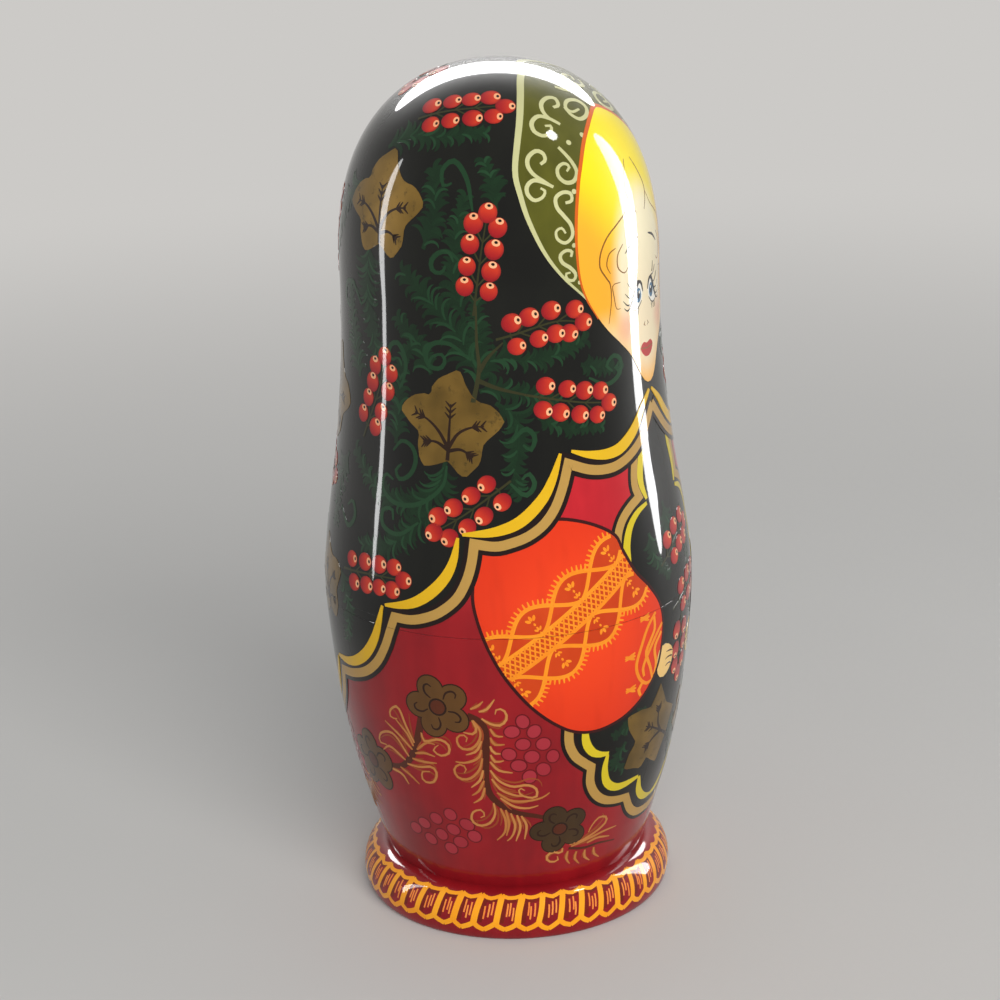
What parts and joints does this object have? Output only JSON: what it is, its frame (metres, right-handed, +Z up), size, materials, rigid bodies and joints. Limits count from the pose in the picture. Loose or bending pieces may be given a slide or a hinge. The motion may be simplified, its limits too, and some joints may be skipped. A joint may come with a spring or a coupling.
{
  "type": "matryoshka nesting doll",
  "caption": "Turned and painted wooden nesting doll on a rounded foot ring; each hollow doll parts at the waist on a spigot joint and holds the next smaller doll.",
  "frame": {"origin": "middle of the underside that the largest doll stands on", "axes": "+Z up along the turning axis, the painted face looks along -Y"},
  "size_m": [0.096, 0.096, 0.22],
  "materials": {
    "painted_upper": "lime wood painted black and varnished to a high gloss",
    "painted_lower": "lime wood painted crimson and varnished to a high gloss",
    "painted_solid": "solid lime wood, painted and varnished to a high gloss"
  },
  "bodies": {
    "doll_1_lower": {"doll_1_lower": "painted_lower"},
    "doll_2_lower": {"doll_2_lower": "painted_lower"},
    "doll_3_lower": {"doll_3_lower": "painted_lower"},
    "doll_4_lower": {"doll_4_lower": "painted_lower"},
    "doll_5_lower": {"doll_5_lower": "painted_lower"},
    "doll_6_lower": {"doll_6_lower": "painted_lower"},
    "doll_7": {"doll_7": "painted_solid"},
    "doll_6_upper": {"doll_6_upper": "painted_upper"},
    "doll_5_upper": {"doll_5_upper": "painted_upper"},
    "doll_4_upper": {"doll_4_upper": "painted_upper"},
    "doll_3_upper": {"doll_3_upper": "painted_upper"},
    "doll_2_upper": {"doll_2_upper": "painted_upper"},
    "doll_1_upper": {"doll_1_upper": "painted_upper"}
  },
  "joints": [
    {"name": "doll_2_lift_out", "type": "slide", "parent": "doll_1_lower", "child": "doll_2_lower", "axis": [0, 0, 1], "range_m": [0, 0.097]},
    {"name": "doll_3_lift_out", "type": "slide", "parent": "doll_2_lower", "child": "doll_3_lower", "axis": [0, 0, 1], "range_m": [0, 0.073]},
    {"name": "doll_4_lift_out", "type": "slide", "parent": "doll_3_lower", "child": "doll_4_lower", "axis": [0, 0, 1], "range_m": [0, 0.055]},
    {"name": "doll_5_lift_out", "type": "slide", "parent": "doll_4_lower", "child": "doll_5_lower", "axis": [0, 0, 1], "range_m": [0, 0.041]},
    {"name": "doll_6_lift_out", "type": "slide", "parent": "doll_5_lower", "child": "doll_6_lower", "axis": [0, 0, 1], "range_m": [0, 0.031]},
    {"name": "doll_7_lift_out", "type": "slide", "parent": "doll_6_lower", "child": "doll_7", "axis": [0, 0, 1], "range_m": [0, 0.022]},
    {"name": "doll_6_open", "type": "slide", "parent": "doll_7", "child": "doll_6_upper", "axis": [0, 0, 1], "range_m": [0, 0.02]},
    {"name": "doll_5_open", "type": "slide", "parent": "doll_6_upper", "child": "doll_5_upper", "axis": [0, 0, 1], "range_m": [0, 0.031]},
    {"name": "doll_4_open", "type": "slide", "parent": "doll_5_upper", "child": "doll_4_upper", "axis": [0, 0, 1], "range_m": [0, 0.043]},
    {"name": "doll_3_open", "type": "slide", "parent": "doll_4_upper", "child": "doll_3_upper", "axis": [0, 0, 1], "range_m": [0, 0.058]},
    {"name": "doll_2_open", "type": "slide", "parent": "doll_3_upper", "child": "doll_2_upper", "axis": [0, 0, 1], "range_m": [0, 0.078]},
    {"name": "doll_1_open", "type": "slide", "parent": "doll_2_upper", "child": "doll_1_upper", "axis": [0, 0, 1], "range_m": [0, 0.104]}
  ]
}
